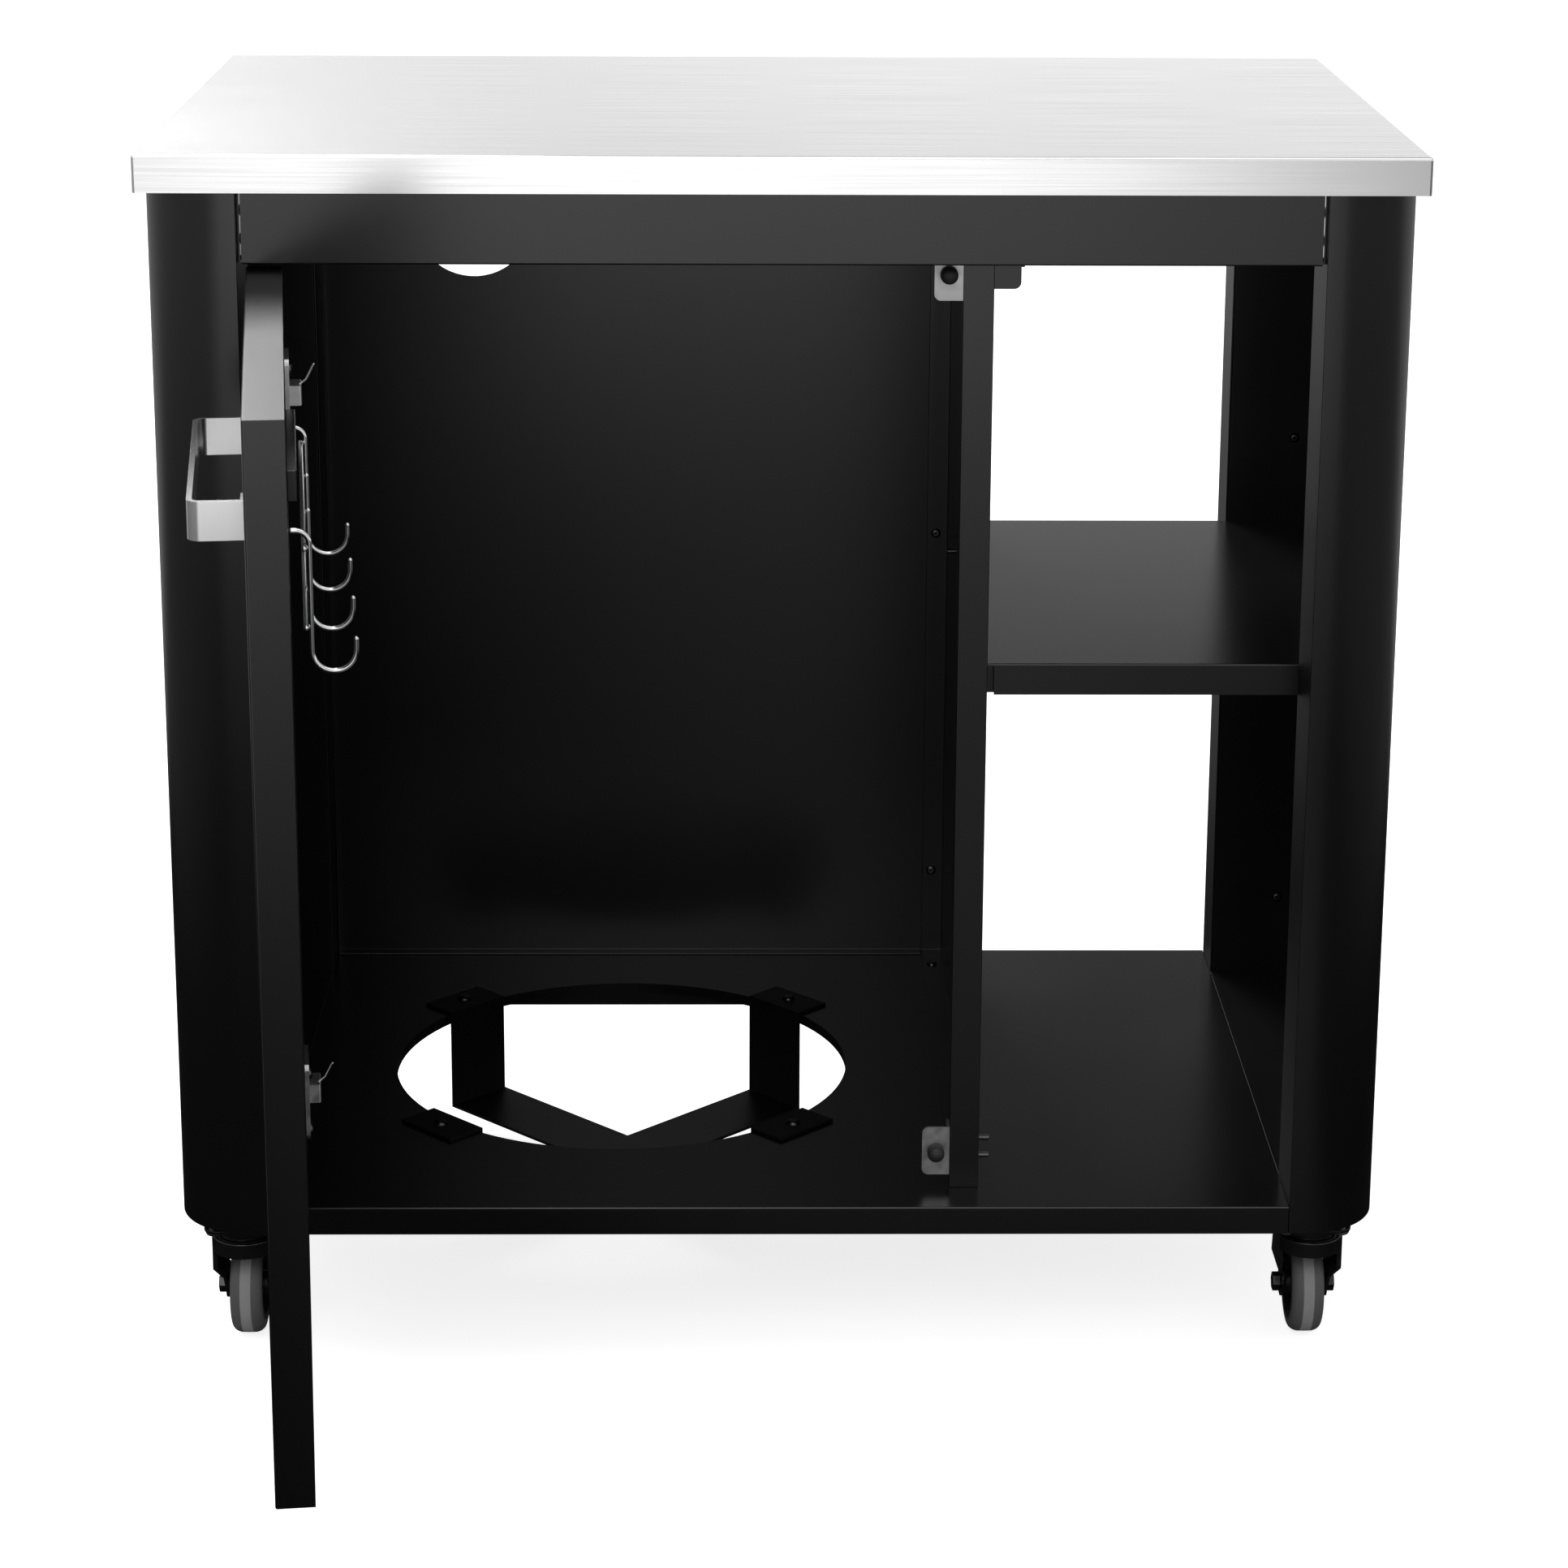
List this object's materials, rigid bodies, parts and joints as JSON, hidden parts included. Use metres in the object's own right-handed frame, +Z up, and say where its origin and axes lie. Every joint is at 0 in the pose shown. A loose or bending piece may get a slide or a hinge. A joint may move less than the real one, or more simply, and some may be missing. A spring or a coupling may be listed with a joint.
{
  "type": "outdoor kitchen cabinet on castors",
  "caption": "Castor-mounted outdoor kitchen cabinet: stainless worktop, door bay with gas bottle cut-out and cradle, and an open shelf bay.",
  "frame": {"origin": "on the floor, under the middle of the worktop", "axes": "+X to the right seen from the front, +Y to the back, +Z up"},
  "size_m": [0.9, 1.0738, 0.91],
  "materials": {
    "stainless": "satin stainless",
    "black_coat": "fine-textured satin powder coat",
    "zinc_plate": "bright zinc plate",
    "bright_steel": "bright nickel plate",
    "dark_screw": "blackened zinc",
    "black_rubber": "matt",
    "black_gloss_paint": "gloss",
    "hub_plastic": "moulded",
    "grey_tyre": "grey rubber with a paler tread band"
  },
  "bodies": {
    "cabinet": {"back_panel": "black_coat", "base_panel": "black_coat", "base_stiffeners": "black_coat", "body_screws": "dark_screw", "bumper_bolts": "dark_screw", "bumper_brackets": "zinc_plate", "castor_bolts": "zinc_plate", "castor_heads": "black_gloss_paint", "cradle_bolts": "black_coat", "divider": "black_coat", "divider_bracket": "black_coat", "foot_plates": "black_coat", "front_post_plates": "black_coat", "front_top_rail": "black_coat", "hinge_arm_screws": "dark_screw", "hinge_pins": "bright_steel", "left_side_ledge": "black_coat", "left_side_shell": "black_coat", "lower_cradle_strap": "black_coat", "lower_hinge_arm": "bright_steel", "panel_screws": "dark_screw", "post_plate_screws": "dark_screw", "rear_post_plates": "black_coat", "rear_top_rail": "black_coat", "right_side_ledge": "black_coat", "right_side_shell": "black_coat", "rubber_bumpers": "black_rubber", "shelf": "black_coat", "upper_cradle_strap": "black_coat", "upper_hinge_arm": "bright_steel", "worktop": "stainless", "worktop_stiffeners": "zinc_plate"},
    "door": {"door_skin": "black_coat", "door_inner_panel": "black_coat", "door_stiffener": "zinc_plate", "door_handle": "stainless", "handle_screws": "dark_screw", "tool_strip": "black_coat", "rack_wires": "bright_steel", "rack_hooks": "bright_steel", "upper_hinge_cup": "bright_steel", "lower_hinge_cup": "bright_steel", "hinge_cup_screws": "dark_screw"},
    "front_left_fork": {"front_left_castor_fork": "black_gloss_paint", "front_left_castor_axle": "dark_screw"},
    "front_left_wheel": {"front_left_castor_hub": "hub_plastic", "front_left_castor_tyre": "grey_tyre"},
    "front_right_fork": {"front_right_castor_fork": "black_gloss_paint", "front_right_castor_axle": "dark_screw"},
    "front_right_wheel": {"front_right_castor_hub": "hub_plastic", "front_right_castor_tyre": "grey_tyre"},
    "rear_left_fork": {"rear_left_castor_fork": "black_gloss_paint", "rear_left_castor_axle": "dark_screw"},
    "rear_left_wheel": {"rear_left_castor_hub": "hub_plastic", "rear_left_castor_tyre": "grey_tyre"},
    "rear_right_fork": {"rear_right_castor_fork": "black_gloss_paint", "rear_right_castor_axle": "dark_screw"},
    "rear_right_wheel": {"rear_right_castor_hub": "hub_plastic", "rear_right_castor_tyre": "grey_tyre"}
  },
  "joints": [
    {"name": "door_swing", "type": "hinge", "parent": "cabinet", "child": "door", "pos_m": [-0.3685, -0.2735, 0.4857], "axis": [0, 0, -1], "range_deg": [-83.5, 16.5]},
    {"name": "front_left_swivel", "type": "hinge", "parent": "cabinet", "child": "front_left_fork", "pos_m": [-0.4015, -0.239, 0.0878], "axis": [0, 0, 1], "continuous": true},
    {"name": "front_left_roll", "type": "hinge", "parent": "front_left_fork", "child": "front_left_wheel", "pos_m": [-0.4015, -0.215, 0.0375], "axis": [1, 0, 0], "continuous": true},
    {"name": "front_right_swivel", "type": "hinge", "parent": "cabinet", "child": "front_right_fork", "pos_m": [0.4015, -0.239, 0.0878], "axis": [0, 0, 1], "continuous": true},
    {"name": "front_right_roll", "type": "hinge", "parent": "front_right_fork", "child": "front_right_wheel", "pos_m": [0.4015, -0.215, 0.0375], "axis": [1, 0, 0], "continuous": true},
    {"name": "rear_left_swivel", "type": "hinge", "parent": "cabinet", "child": "rear_left_fork", "pos_m": [-0.4015, 0.239, 0.0878], "axis": [0, 0, 1], "continuous": true},
    {"name": "rear_left_roll", "type": "hinge", "parent": "rear_left_fork", "child": "rear_left_wheel", "pos_m": [-0.4015, 0.263, 0.0375], "axis": [1, 0, 0], "continuous": true},
    {"name": "rear_right_swivel", "type": "hinge", "parent": "cabinet", "child": "rear_right_fork", "pos_m": [0.4015, 0.239, 0.0878], "axis": [0, 0, 1], "continuous": true},
    {"name": "rear_right_roll", "type": "hinge", "parent": "rear_right_fork", "child": "rear_right_wheel", "pos_m": [0.4015, 0.263, 0.0375], "axis": [1, 0, 0], "continuous": true}
  ]
}
